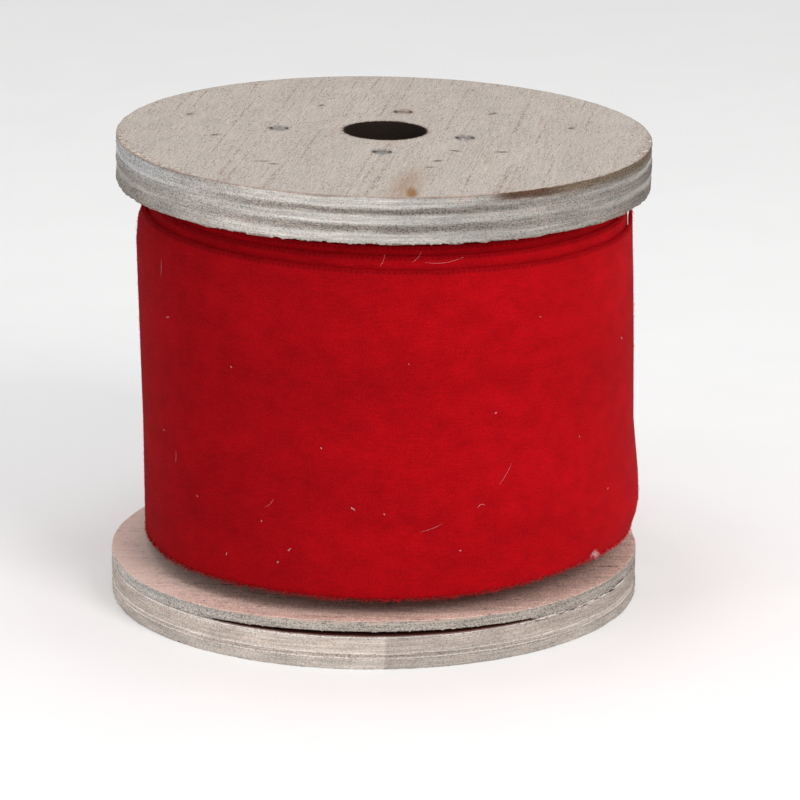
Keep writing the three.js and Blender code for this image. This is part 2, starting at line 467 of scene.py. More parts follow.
def bruised(finish, place, colour):
    """A blotched bruise round the crown of each staple, dark where its legs go in."""
    gaps = finish.noise(place, (1.3, 2.4, 1.0), detail=3, roughness=0.7)
    blotches = finish.rise(gaps, 0.36, 0.56)
    for side in STAPLE_SIDES:
        crown = (middle_of(f"upper_{side}_staple") - upper_middle) / MM
        bruise = finish.spot(place, (crown.x, crown.y), (4.6, 5.6))
        blotched = finish.math("MINIMUM", finish.times(bruise, blotches, 2.4), 1.0)
        colour = finish.stain(colour, RUST_BRUISE if side == "rear" else GREY_BRUISE, blotched, 0.85)
        for reach in (-HALF_CROWN, HALF_CROWN):
            hole = finish.spot(place, (crown.x + reach, crown.y), (1.1, 2.6))
            colour = finish.stain(colour, (0.07, 0.05, 0.045), hole, 1.6)
    return colour


def worn_round_edge(finish, place, colour):
    """Pale chips with brown outlines at the left front and the right end, and a rubbed edge all round."""
    x, y, _ = finish.split(place)
    away = finish.distance(x, y)
    radius = flange_radius / MM
    chips = finish.noise(place, (3.2, 3.2, 2.0), detail=3, roughness=0.65)
    left_front = finish.times(finish.rise(x, -50.0, -66.0), finish.rise(y, 5.0, -12.0))
    right_end = finish.times(finish.rise(x, 66.0, 76.0), finish.band(y, -26.0, 4.0, 6.0))
    worn_places = finish.add(finish.add(left_front, right_end), 0.12)
    near_edge = finish.rise(away, radius - 3.6, radius - 1.0)
    chipped = finish.times(near_edge, finish.rise(chips, 0.52, 0.58), worn_places)
    round_chips = finish.rise(away, radius - 4.2, radius - 1.4)
    outlined = finish.times(round_chips, finish.band(chips, 0.48, 0.525, 0.012), worn_places)
    colour = finish.stain(colour, (0.66, 0.58, 0.51), chipped, 0.8)
    colour = finish.stain(colour, (0.20, 0.115, 0.075), outlined, 0.75)
    return finish.stain(colour, (0.33, 0.24, 0.19), finish.rise(away, radius - 0.9, radius - 0.15), 0.5)


def weathered_face_colour(finish, place, wood):
    colour, height = face_pattern(finish, place, wood.face_wood, GRAIN_TURN, (0.36, 0.235, 0.18))
    colour = knotted(finish, place, colour)
    colour = scratched(finish, place, colour)
    colour = bruised(finish, place, colour)
    return worn_round_edge(finish, place, colour), height


def rim_grain(finish, place, crossband):
    """How much end grain shows (0 to 1) on a rim: the crossbands run front to back, the rest across."""
    x, y, _ = finish.split(place)
    radius = flange_radius / MM
    along_x = finish.math("POWER", finish.times(finish.math("ABSOLUTE", x), 1 / radius), 1.6)
    along_y = finish.math("POWER", finish.times(finish.math("ABSOLUTE", y), 1 / radius), 1.6)
    turned = finish.math("SUBTRACT", along_y, along_x)
    return finish.add(along_x, finish.times(turned, crossband))


def crossbands(finish, height, bands):
    first, second = (finish.band(height, *band) for band in bands)
    return finish.add(first, second)


def rim_texture(finish, place, end_grain, colour):
    """Fine streaks along the rim, specks in the end grain, and a relief for both."""
    streak = finish.noise(place, (11.0, 11.0, 0.32), detail=4, roughness=0.65)
    long_streak = finish.noise(place, (38.0, 38.0, 0.9), detail=2, roughness=0.6)
    speck = finish.noise(place, (0.55, 0.55, 0.45), detail=3, roughness=0.75)
    patch = finish.noise(place, (16.0, 16.0, 5.0), detail=2)
    colour = finish.scale(colour, finish.swing(streak, 0.32))
    colour = finish.scale(colour, finish.swing(long_streak, 0.16))
    colour = finish.scale(colour, finish.swing(patch, 0.16))
    speckling = finish.add(finish.times(end_grain, 3.2), 2.0)
    colour = finish.scale(colour, finish.add(1.0, finish.times(finish.add(speck, -0.5), speckling)))
    pits = finish.times(finish.rise(speck, 0.58, 0.68), finish.add(finish.times(end_grain, 0.6), 0.3))
    colour = finish.mix(pits, colour, (0.10, 0.08, 0.065))
    height = finish.add(finish.times(streak, 0.8), finish.times(speck, 0.7))
    return colour, height


def plied_rim(finish, place, depth, end_grain, wood):
    """Pale plies and grey crossbands in turns, greyer at the left end, and darker towards the right,
    partly weathering and partly painted shade.
    """
    x, _, _ = finish.split(place)
    colour = finish.mix(end_grain, tuple(wood.pale_wood), tuple(wood.end_grain))
    pinkish = finish.noise(place, (9.0, 9.0, 1.1), detail=3)
    colour = finish.stain(colour, (0.50, 0.37, 0.31), finish.rise(pinkish, 0.55, 0.75), 0.35)
    # Partly painted shade, partly weathering: the rim is made lighter on the left and darker towards the
    # right.
    colour = finish.scale(colour, finish.add(1.1, finish.times(finish.rise(x, -32.0, 12.0), -0.34)))
    left_tint = finish.mix(finish.rise(depth, 3.5, 8.0), (0.47, 0.485, 0.50), (0.25, 0.225, 0.20))
    colour = finish.stain(colour, left_tint, finish.rise(x, -48.0, -80.0), 0.6)
    colour = finish.stain(colour, (0.25, 0.215, 0.18), finish.rise(depth, 13.0, 14.2), 0.42)
    return finish.stain(colour, (0.30, 0.20, 0.165), finish.rise(depth, 0.75, 0.25), 0.75)


def stained_rim(finish, place, colour):
    """Brown stain that has soaked down from the face at the right front."""
    x, y, z = finish.split(place)
    front = finish.rise(y, 25.0, -25.0)
    soaked = finish.add(finish.times(z, -1.0), finish.waver(place, (5.0, 5.0, 0.8), 2.6, detail=4))
    long_stain = finish.times(finish.rise(soaked, 3.9, 1.5), finish.rise(x, 28.0, 44.0), front)
    dark_stain = finish.times(finish.rise(soaked, 3.2, 1.0), finish.band(x, 34.0, 50.0, 4.0), front)
    colour = finish.stain(colour, (0.125, 0.088, 0.058), long_stain, 0.95)
    return finish.mix(dark_stain, colour, BROWN_STAIN)


def weathered_plywood(wood):
    """Upper flange: a weathered face and a rim where pale plies and grey crossbands take turns."""
    finish = Finish("weathered_plywood", Roughness=0.8, Specular_IOR_Level=0.25)
    place = finish.millimetres(upper_middle, (0, lean, 0))
    down = finish.times(finish.split(place)[2], -1.0)
    depth = finish.add(down, finish.waver(place, (14.0, 14.0, 6.0), 1.5, detail=3))
    end_grain = rim_grain(finish, place, crossbands(finish, depth, UPPER_CROSSBANDS))
    colour = plied_rim(finish, place, depth, end_grain, wood)
    colour = stained_rim(finish, place, colour)
    colour, height = rim_texture(finish, place, end_grain, colour)
    face, face_height = weathered_face_colour(finish, place, wood)
    flat = finish.rise(finish.math("ABSOLUTE", finish.normal_z()), 0.6, 0.85)
    colour = finish.mix(flat, colour, face)
    wall, ring = bore_scorch(finish, place, ((upper_bore.x - upper_middle.x) / MM, upper_bore.y / MM, 0))
    colour = finish.stain(colour, (0.21, 0.11, 0.07), ring, 0.45)
    finish.colour(finish.mix(wall, colour, SCORCH))
    finish.roughness(finish.add(finish.times(flat, -0.08), 0.84))
    upright = finish.add(1.0, finish.times(flat, -1.0))
    finish.relief(finish.add(finish.times(height, upright), finish.times(face_height, flat)), 0.16, 0.9)
    return finish.material


def base_plywood():
    """Lower flange below the sprung ply: a pale core, whitish lines and a light-grey base."""
    finish = Finish("base_plywood", Roughness=0.82, Specular_IOR_Level=0.25)
    place = finish.millimetres(lower_middle)
    x, y, z = finish.split(place)
    height = finish.add(z, finish.waver(place, (18.0, 18.0, 5.0), 1.1, detail=3))
    crossband = crossbands(finish, height, LOWER_CROSSBANDS)
    end_grain = finish.times(rim_grain(finish, place, crossband), 0.55)
    colour = finish.mix(end_grain, (0.56, 0.485, 0.43), (0.33, 0.275, 0.235))
    colour = finish.stain(colour, (0.47, 0.425, 0.385), finish.rise(height, 3.3, 2.7), 0.7)
    pink_lines = finish.noise(place, (16.0, 16.0, 0.5), detail=3, roughness=0.6)
    colour = finish.stain(colour, (0.50, 0.33, 0.275), finish.rise(pink_lines, 0.54, 0.7), 0.5)
    for line_height, half in WHITISH_LINES:
        line = finish.band(height, line_height - half, line_height + half, 0.16)
        colour = finish.stain(colour, (0.76, 0.70, 0.65), line, 0.85)
    colour, relief = rim_texture(finish, place, end_grain, colour)
    front = finish.rise(y, 5.0, -5.0)
    joint = finish.times(finish.rise(x, 3.1, 4.5), front)
    fading = finish.add(1.0, finish.times(finish.rise(x, 20.0, 60.0), -0.45))
    colour = finish.scale(colour, finish.add(1.0, finish.times(joint, fading, -0.27)))
    # Painted shade: dark splits between the plies at the right end, drawn in colour only.
    splits = finish.noise(place, (5.0, 5.0, 0.5), detail=3, roughness=0.6)
    split_end = finish.times(finish.rise(x, 36.0, 52.0), finish.rise(z, 9.4, 10.0))
    colour = finish.stain(colour, (0.03, 0.018, 0.012), finish.rise(splits, 0.53, 0.57), split_end)
    # Painted shade in the crack: faces that look up under the sprung ply, and the lip of the rim beside
    # the crack, are made dark red-brown.
    inside = finish.rise(finish.normal_z(), 0.5, 0.8)
    beside_crack = finish.rise(finish.math("ABSOLUTE", x), 52.0, 42.0)
    lip = finish.times(finish.rise(z, 10.0, 10.3), beside_crack, front)
    dark = finish.math("MAXIMUM", inside, finish.times(lip, 0.7))
    colour = finish.mix(dark, colour, (0.09, 0.018, 0.010))
    wall, _ = bore_scorch(finish, place, ((lower_bore.x - lower_middle.x) / MM, lower_bore.y / MM, 0))
    finish.colour(finish.mix(wall, colour, SCORCH))
    finish.relief(relief, 0.16, 0.9)
    return finish.material


def pink_face(finish, place, wood):
    """The pinkish face under the ribbon, with painted light towards its rim, and paler on the left."""
    x, y, _ = finish.split(place)
    face, height = face_pattern(
        finish, place, tuple(wood.pink_wood), math.radians(86), (0.30, 0.145, 0.105), 1.35
    )
    face = finish.stain(face, (0.66, 0.52, 0.465), finish.rise(x, -35.0, -80.0), 0.75)
    # Painted light: the face is made brighter towards its rim.
    painted_rim_light = finish.times(finish.rise(finish.distance(x, y), 68.0, 82.0), 0.16)
    duller = finish.times(finish.rise(x, 15.0, 60.0), -0.10)
    return finish.scale(face, finish.add(finish.add(1.0, painted_rim_light), duller)), height


def torn_rim(finish, place):
    """The grey rim of the sprung ply, with a cream upper edge, and painted shade in the splits at the
    right.
    """
    x, _, z = finish.split(place)
    grey = finish.mix(finish.rise(x, -30.0, -75.0), (0.335, 0.30, 0.265), (0.46, 0.42, 0.39))
    rim, height = rim_texture(finish, place, 0.85, grey)
    edge = finish.noise(place, (6.0, 6.0, 1.5), detail=3)
    cream = finish.times(finish.rise(z, 13.9, 14.2), finish.rise(edge, 0.40, 0.5))
    rim = finish.stain(rim, (0.50, 0.38, 0.31), cream, 0.6)
    # Painted shade: dark splits along the lower edge at the right end, drawn in colour only.
    splits = finish.noise(place, (6.0, 6.0, 0.6), detail=3, roughness=0.6)
    split_end = finish.times(finish.rise(x, 36.0, 52.0), finish.rise(z, 11.4, 10.9))
    return finish.stain(rim, (0.03, 0.02, 0.014), finish.rise(splits, 0.55, 0.59), split_end), height


def sprung_ply_wood(wood):
    """The ply under the ribbon: a pinkish face and a grey torn rim, with painted shade on its underside
    inside the crack.
    """
    finish = Finish("sprung_ply_wood", Roughness=0.8, Specular_IOR_Level=0.25)
    place = finish.millimetres(lower_middle)
    face, face_height = pink_face(finish, place, wood)
    rim, rim_height = torn_rim(finish, place)
    up = finish.normal_z()
    colour = finish.mix(finish.rise(up, 0.5, 0.8), rim, face)
    # Painted shade: the underside, seen inside the crack, is made near black.
    colour = finish.mix(finish.rise(up, -0.3, -0.6), colour, (0.04, 0.014, 0.009))
    wall, _ = bore_scorch(finish, place, ((lower_bore.x - lower_middle.x) / MM, lower_bore.y / MM, 0))
    finish.colour(finish.mix(wall, colour, SCORCH))
    finish.relief(finish.add(rim_height, face_height), 0.16, 0.9)
    return finish.material


def hub_wood(middle, axis_turn, name):
    """Bare softwood of a hub disc, scorched in its bore."""
    finish = Finish(name, Roughness=0.7, Specular_IOR_Level=0.3)
    place = finish.millimetres(middle, (0, axis_turn, 0))
    rings = finish.noise(place, (3.0, 60.0, 3.0), detail=4, roughness=0.6, distortion=0.6)
    fine = finish.noise(place, (0.35, 12.0, 0.35), detail=3)
    colour = finish.mix(rings, (0.52, 0.37, 0.22), (0.34, 0.20, 0.10))
    colour = finish.scale(colour, finish.swing(fine, 0.2))
    wall, ring = bore_scorch(finish, place, (0, 0, 0))
    colour = finish.stain(colour, (0.16, 0.08, 0.04), ring, 0.5)
    colour = finish.mix(wall, colour, SCORCH)
    finish.colour(colour)
    finish.relief(finish.add(rings, fine), 0.12, 0.8)
    return finish.material


PAPER_STRIP = 70  # millimetres up the tube between the joints of its paper


def tube_cardboard():
    """Spiral-wound brown board, with the joints of its paper strips showing."""
    finish = Finish("spiral_cardboard", Roughness=0.88, Specular_IOR_Level=0.2)
    place = finish.millimetres(roll_middle)
    x, y, z = finish.split(place)
    angle = finish.math("ARCTAN2", y, x)
    turns = finish.times(angle, 1 / (2 * math.pi))
    strip = finish.math("FRACT", finish.add(finish.times(z, 1 / PAPER_STRIP), turns))
    joint = finish.band(strip, 0.488, 0.512, 0.004)
    fibres = finish.noise(place, (0.6, 0.6, 2.5), detail=4, roughness=0.7)
    clouds = finish.noise(place, (12.0, 12.0, 12.0), detail=3)
    colour = finish.mix(clouds, (0.33, 0.21, 0.12), (0.44, 0.30, 0.18))
    colour = finish.scale(colour, finish.swing(fibres, 0.2))
    colour = finish.stain(colour, (0.16, 0.09, 0.05), joint, 0.7)
    finish.colour(colour)
    finish.relief(finish.add(fibres, finish.times(joint, -2.0)), 0.1, 0.8)
    return finish.material


def crepe_tape():
    """Cream paper tape with fine crepe ridges."""
    finish = Finish("crepe_tape", Roughness=0.62, Specular_IOR_Level=0.35)
    place = finish.millimetres(roll_middle)
    ridges = finish.noise(place, (0.5, 3.0, 9.0), detail=4, roughness=0.6)
    clouds = finish.noise(place, (8.0, 8.0, 8.0), detail=2)
    colour = finish.mix(clouds, (0.66, 0.55, 0.33), (0.74, 0.65, 0.43))
    colour = finish.scale(colour, finish.swing(ridges, 0.12))
    finish.colour(colour)
    finish.relief(ridges, 0.15, 0.9)
    return finish.material


def dull_zinc(name, rust_amount):
    """Dull galvanised wire with flecks of rust."""
    finish = Finish(name, Metallic=0.85, Roughness=0.5)
    place = finish.millimetres()
    clouds = finish.noise(place, (0.9, 0.9, 0.9), detail=4, roughness=0.7)
    drawn = finish.noise(place, (3.0, 0.15, 0.15), detail=2)
    colour = finish.mix(clouds, (0.27, 0.29, 0.32), (0.52, 0.55, 0.58))
    colour = finish.scale(colour, finish.swing(drawn, 0.15))
    rusty = finish.times(finish.rise(clouds, 0.62 - rust_amount, 0.72 - rust_amount), 0.8)
    colour = finish.mix(rusty, colour, (0.17, 0.075, 0.035))
    finish.colour(colour)
    finish.roughness(finish.add(finish.times(rusty, 0.35), finish.add(finish.times(clouds, 0.25), 0.35)))
    finish.relief(finish.add(clouds, drawn), 0.05, 0.7)
    return finish.material


# Velvet

DOT_PITCH = 1.6  # millimetres between the dark dots along the selvedge


def velvet_pile(ribbon):
    """Cut pile: deep red, with painted shade on the left and painted light on the right, and a pale sheen
    where it is seen edge on.
    """
    finish = Finish("velvet_pile", Roughness=0.95, Specular_IOR_Level=0.04)
    finish.shader.inputs["Sheen Weight"].default_value = 0.035
    finish.shader.inputs["Sheen Roughness"].default_value = 0.22
    finish.shader.inputs["Sheen Tint"].default_value = (1.0, 0.30, 0.42, 1.0)
    place = finish.millimetres(roll_middle)
    x, _, _ = finish.split(place)
    strip = finish.nodes.new("ShaderNodeUVMap")
    strip.uv_map = "strip"
    weave = finish.space(strip.outputs[0], (0.001, 0.001, 1.0))
    along, across, _ = finish.split(weave)
    tufts = finish.noise(weave, (0.50, 0.42, 1.0), detail=3, roughness=0.75)
    rows = finish.noise(weave, (4.0, 0.55, 1.0), detail=3, roughness=0.6)
    crushed = finish.noise(weave, (9.0, 7.0, 1.0), detail=4, roughness=0.62)
    brushed = finish.noise(weave, (60.0, 26.0, 1.0), detail=2)
    colour = finish.scale(tuple(ribbon.velvet), finish.swing(tufts, 0.42))
    colour = finish.scale(colour, finish.swing(rows, 0.12))
    colour = finish.scale(colour, finish.swing(crushed, 0.16))
    colour = finish.scale(colour, finish.swing(brushed, 0.12))
    # Painted shade and light: the pile is made darker on the left and lighter on the right.
    painted_side_light = finish.rise(x, -85.0, 80.0)
    colour = finish.scale(colour, finish.add(0.77, finish.times(painted_side_light, 0.42)))
    width = ribbon.width / MM
    beat = finish.math("SINE", finish.times(along, 2 * math.pi / DOT_PITCH))
    uneven = finish.add(beat, finish.waver(weave, (2.0, 50.0, 1.0), 3.0))
    selvedge = finish.band(across, width - 1.25, width - 0.35, 0.25)
    dots = finish.add(finish.times(finish.rise(uneven, -0.9, 1.1), 0.30), 0.12)
    finish.colour(finish.stain(colour, (0.035, 0.0012, 0.002), selvedge, dots))
    finish.relief(finish.add(tufts, finish.times(crushed, 0.6)), 0.35, 0.8)
    return finish.material


def plain_fibre(name, colour, sheen, tint):
    """Loose fibres, their colour changing a little from one to the next, with painted shade on the left
    and painted light on the right.
    """
    finish = Finish(name, Roughness=0.8, Specular_IOR_Level=0.05)
    finish.shader.inputs["Sheen Weight"].default_value = sheen
    finish.shader.inputs["Sheen Tint"].default_value = (*tint, 1.0)
    place = finish.millimetres(roll_middle)
    x, _, _ = finish.split(place)
    change = finish.noise(place, (0.8, 0.8, 0.8), detail=2)
    # Painted shade and light: the fibres are made darker on the left and lighter on the right.
    painted_side_light = finish.add(0.70, finish.times(finish.rise(x, -85.0, 80.0), 0.5))
    finish.colour(finish.scale(finish.scale(colour, finish.swing(change, 0.2)), painted_side_light))
    finish.relief(change, 0.02, 0.5)
    return finish.material


# Flanges

RIM_STEPS = 1080
BORE_STEPS = 96
ROW_HEIGHT = 0.55 * MM
RIM_BEVEL = 0.14 * MM


def clouds_texture(name, size):
    texture = bpy.data.textures.new(name, "CLOUDS")
    texture.noise_scale = size
    texture.noise_depth = 3
    return texture


def add_drum(name, low, high, middle, axis):
    """The rim of a ply as an open drum between two heights along the axis of its flange."""
    deselect_all()
    foot = middle + axis * ((low + high) / 2 - middle.dot(axis))
    bpy.ops.mesh.primitive_cylinder_add(
        vertices=RIM_STEPS, radius=flange_radius, depth=high - low, end_fill_type="NOTHING", location=foot,
        rotation=(0, math.atan2(axis.x, axis.z), 0),
    )
    drum = bpy.context.object
    drum.name = name
    mesh = drum.data
    rows = max(1, round((high - low) / ROW_HEIGHT))
    select_in(drum, "edges", lambda edge: abs(edge_height(mesh, edge)) > (high - low) / 2)
    bpy.ops.mesh.subdivide(number_cuts=rows)
    leave_edit()
    return drum


def close_drum(drum, thickness, free_sides):
    """Closes both ends of a drum, and bevels each edge that no other ply covers."""
    select_in(drum, "edges", lambda edge: True)
    bpy.ops.mesh.fill_holes(sides=0)
    leave_edit()
    vertices = drum.data.vertices

    def is_free(edge):
        ends = [vertices[index].co.z for index in edge.vertices]
        return any(all(abs(z - side * thickness / 2) < SAME for z in ends) for side in free_sides)

    if free_sides:
        select_in(drum, "edges", is_free)
        bpy.ops.mesh.bevel(offset=RIM_BEVEL, segments=1, affect="EDGES")
        leave_edit()


def edge_height(mesh, edge):
    first, second = (mesh.vertices[index].co for index in edge.vertices)
    return first.z - second.z


def cutter_for(prefix, bore_middle, settings):
    """One cutter for the bore and the four staple slots of a flange."""
    deselect_all()
    bpy.ops.mesh.primitive_cylinder_add(
        vertices=BORE_STEPS, radius=bore_radius, depth=0.6 * flange_radius,
        location=bore_middle, rotation=(0, lean if prefix == "upper" else 0, 0),
    )
    cutter = bpy.context.object
    settle(cutter)
    shapes = [cutter]
    for side in STAPLE_SIDES:
        shapes.append(staple_shape(f"{prefix}_{side}", settings, settings.clearance))
    deselect_all()
    for shape in shapes:
        shape.select_set(True)
    bpy.context.view_layer.objects.active = cutter
    bpy.ops.object.join()
    return cutter


def weigh(piece, name, weight_of):
    """A vertex group whose weights come from each vertex's place."""
    group = piece.vertex_groups.new(name=name)
    for vertex in piece.data.vertices:
        weight = weight_of(vertex.co)
        if weight > 0:
            group.add([vertex.index], weight, "REPLACE")
    return name


def roughen_rim(drum, wood, recess):
    """The saw leaves the rim uneven, and a crossband wears back a little further than its neighbours."""
    for texture, share in ((rim_waves, 1.0), (rim_fibres, 0.75)):
        apply_modifier(
            drum, "DISPLACE", texture=texture, texture_coords="GLOBAL",
            strength=wood.rim_roughness * share, mid_level=0.5 + recess * share,
        )


def tear_edge(ply, middle, height, wood, where, still=0.5):
    """Lifts and drops one edge of a rim, so that its outline is torn."""
    def on_edge(co):
        out = (co - middle).xy.length
        near = abs(co.z - height(co)) < 0.25 * MM
        return where(co) if near and out > flange_radius - 0.9 * MM else 0.0

    group = weigh(ply, "torn_edge", on_edge)
    apply_modifier(
        ply, "DISPLACE", texture=torn_fibres, texture_coords="GLOBAL", vertex_group=group,
        direction="Z", strength=wood.torn_edge, mid_level=still,
    )


rim_waves = clouds_texture("rim_waves", 6 * MM)
rim_fibres = clouds_texture("rim_fibres", 0.9 * MM)
torn_fibres = clouds_texture("torn_fibres", 0.9 * MM)

SPRUNG_HALF_ANGLE = 36  # degrees each side of the front over which the sprung ply stands open
RECESS = {"lower_crossband": 0.12, "upper_crossband": 0.14}
GLUE_LINE = 0.046 * MM  # each ply is drawn up by this much, to meet the one glued over it
BARE_ON_TOP = ("upper_flange_face_veneer", "lower_flange_sprung_ply", "lower_flange_upper_crossband")
# Which edges of a ply are bare: 1 for its upper edge, -1 for its lower one
FREE_SIDES = {
    "upper_flange_face_veneer": (1,),
    "upper_flange_inner_veneer": (-1,),
    "lower_flange_sprung_ply": (1, -1),
    "lower_flange_base_ply": (-1,),
}


def saw_ply(prefix, name, middle, axis, cutter, wood):
    """One ply of a flange: a sawn disc with its bore and staple slots cut."""
    node = f"{prefix}_flange_{name}"
    low, high = span_along(node, axis)
    if node not in BARE_ON_TOP:
        high += GLUE_LINE
    thickness = high - low
    ply = add_drum(f"{node}_wood", low, high, middle, axis)
    roughen_rim(ply, wood, RECESS.get(name, 0.0))
    close_drum(ply, thickness, FREE_SIDES.get(node, ()))
    if name == "sprung_ply":
        spring_front(ply, thickness)
    settle(ply)
    apply_modifier(ply, "BOOLEAN", operation="DIFFERENCE", object=cutter, solver="EXACT")
    if not ply.data.vertices:
        raise RuntimeError(f"{node}: nothing was left of the ply")
    return ply, node, low, high


def spring_front(ply, thickness):
    """The front of the sprung ply stands open: it is creased along a chord and turned up."""
    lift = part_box("lower_flange_sprung_ply")[1].z - span_along("lower_flange_sprung_ply", lower_axis)[1]
    chord = flange_radius * math.cos(math.radians(SPRUNG_HALF_ANGLE))
    turn = math.atan2(lift, flange_radius - chord)
    mesh = ply.data
    select_in(ply, "vertices", lambda vertex: True)
    world_chord = ply.location + Vector((0, -chord, -thickness / 2))
    bpy.ops.mesh.bisect(plane_co=world_chord, plane_no=(0, 1, 0))
    leave_edit()
    before = max(vertex.co.z for vertex in mesh.vertices)
    select_in(ply, "vertices", lambda vertex: vertex.co.y < -chord - SAME)
    bpy.ops.transform.rotate(value=turn, orient_axis="X", center_override=world_chord)
    leave_edit()
    if max(vertex.co.z for vertex in mesh.vertices) <= before + lift / 2:
        raise RuntimeError("the sprung ply was turned the wrong way")


# Staples

SLOT_OPENING = 0.6 * MM  # a slot runs out through the face that its staple is sunk in


def staple_shape(name, settings, grow=0.0):
    """A staple with rounded shoulders: one leg drawn up, the wire bent twice, the other leg drawn down."""
    low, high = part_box(f"{name}_staple")
    wire = settings.wire + 2 * grow
    leaning = name.startswith("upper")
    middle_x = (low.x + high.x) / 2
    middle_y = (low.y + high.y) / 2
    half_height = (high.z - low.z) / 2
    top = half_height + (SLOT_OPENING if grow else 0)
    foot = -half_height - grow
    crown = (high.x - low.x) - (math.sin(lean) * 2 * half_height if leaning else 0) + 2 * grow
    bend = wire * 1.1
    deselect_all()
    bpy.ops.mesh.primitive_plane_add(size=wire, location=(-crown / 2 + wire / 2, 0, foot))
    staple = bpy.context.object
    staple.name = f"{name}_staple_wire"
    settle(staple)

    def extrude(offset):
        bpy.ops.mesh.extrude_region_move(TRANSFORM_OT_translate={"value": offset})

    def bend_wire(centre):
        bpy.ops.mesh.spin(steps=5, angle=-math.pi / 2, center=centre, axis=(0, 1, 0))

    select_in(staple, "polygons", lambda face: True)
    bpy.ops.mesh.duplicate()
    bpy.ops.mesh.flip_normals()
    leave_edit()
    select_in(staple, "polygons", lambda face: face.index == 1)
    extrude((0, 0, top - foot - bend))
    bend_wire((-crown / 2 + bend, 0, top - bend))
    extrude((crown - 2 * bend, 0, 0))
    bend_wire((crown / 2 - bend, 0, top - bend))
    extrude((0, 0, foot - top + bend))
    bpy.ops.mesh.select_all(action="SELECT")
    bpy.ops.mesh.remove_doubles(threshold=1e-6)
    bpy.ops.mesh.normals_make_consistent(inside=False)
    leave_edit()
    points = staple.data.vertices
    sharpen = 0.35 * wire
    for vertex in points:
        if abs(vertex.co.z - foot) < SAME and abs(vertex.co.x) > crown / 2 - wire / 2:
            vertex.co.z += sharpen
    half_turn = Matrix.Rotation(0 if leaning else math.pi, 4, "Y")
    tilt = Matrix.Rotation(lean if leaning else 0, 4, "Y")
    if abs(max(vertex.co.z for vertex in points) - top) > SAME:
        raise RuntimeError(f"{name}: the wire was bent the wrong way")
    staple.data.transform(half_turn)
    staple.data.transform(tilt)
    staple.data.transform(Matrix.Translation((middle_x, middle_y, (low.z + high.z) / 2)))
    return staple


# Ribbon

STEP = 2.6 * MM
PILE_GAP = 0.86
ROWS = (0.0, 0.006, 0.02, 0.05, 0.09, 0.15, 0.32, 0.55, 0.78, 0.90, 0.96, 0.99, 1.0)
LOOSE_END_DEGREES = 6
LOOSE_END = math.radians(LOOSE_END_DEGREES)
SETTLING_TURNS = 11
LAST_RISE = 0.9 * MM


